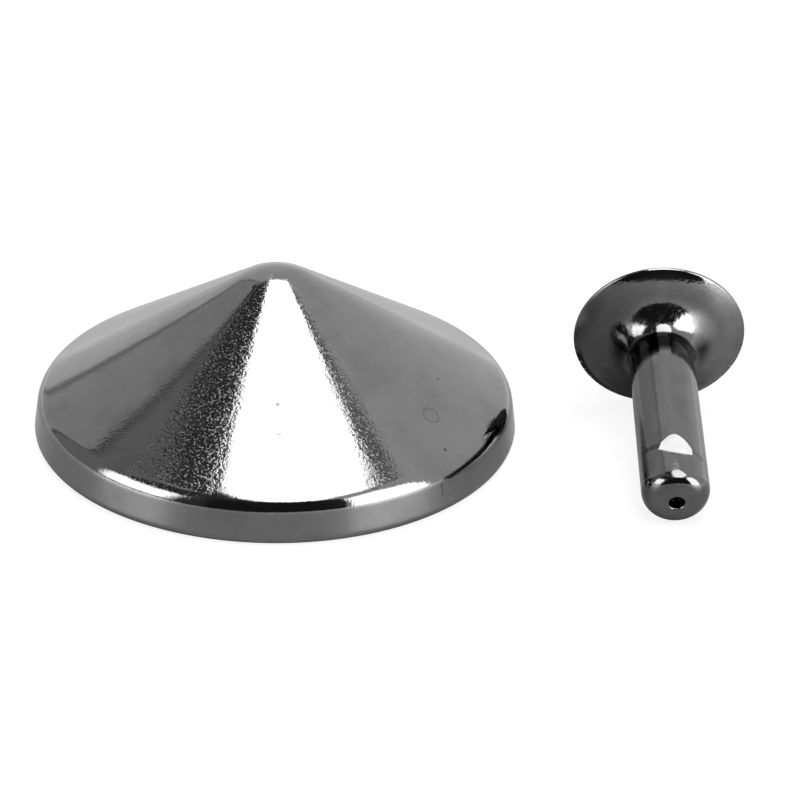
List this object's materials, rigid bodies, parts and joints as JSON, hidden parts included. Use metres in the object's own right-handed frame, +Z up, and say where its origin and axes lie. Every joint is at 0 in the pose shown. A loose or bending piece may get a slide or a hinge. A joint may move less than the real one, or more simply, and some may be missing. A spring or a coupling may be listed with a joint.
{
  "type": "double cap rivet",
  "caption": "Two-part cap rivet for leather, lying open: a tall cone-shaped cap with a drawn socket in its base plate, and a hollow post with a small domed head.",
  "frame": {"origin": "on the axis of the cap's socket, at the plane that both halves rest on", "axes": "+Z up along the cap's axis to the cone's point, -Z out of the socket's mouth; +X towards the post, which lies beside the cap with its shank running towards -Y"},
  "size_m": [0.0295, 0.0198, 0.0071],
  "materials": {
    "cone_plating": "polished dark nickel (gunmetal) plating on stamped steel",
    "plate_plating": "dark nickel plating, less polished, on stamped steel",
    "post_plating": "polished dark nickel (gunmetal) plating on drawn steel",
    "head_plating": "polished dark nickel (gunmetal) plating on stamped steel"
  },
  "bodies": {
    "root": {"cone_shell": "cone_plating", "socket_plate": "plate_plating", "rivet_post": "post_plating", "post_cap": "head_plating"}
  },
  "joints": []
}
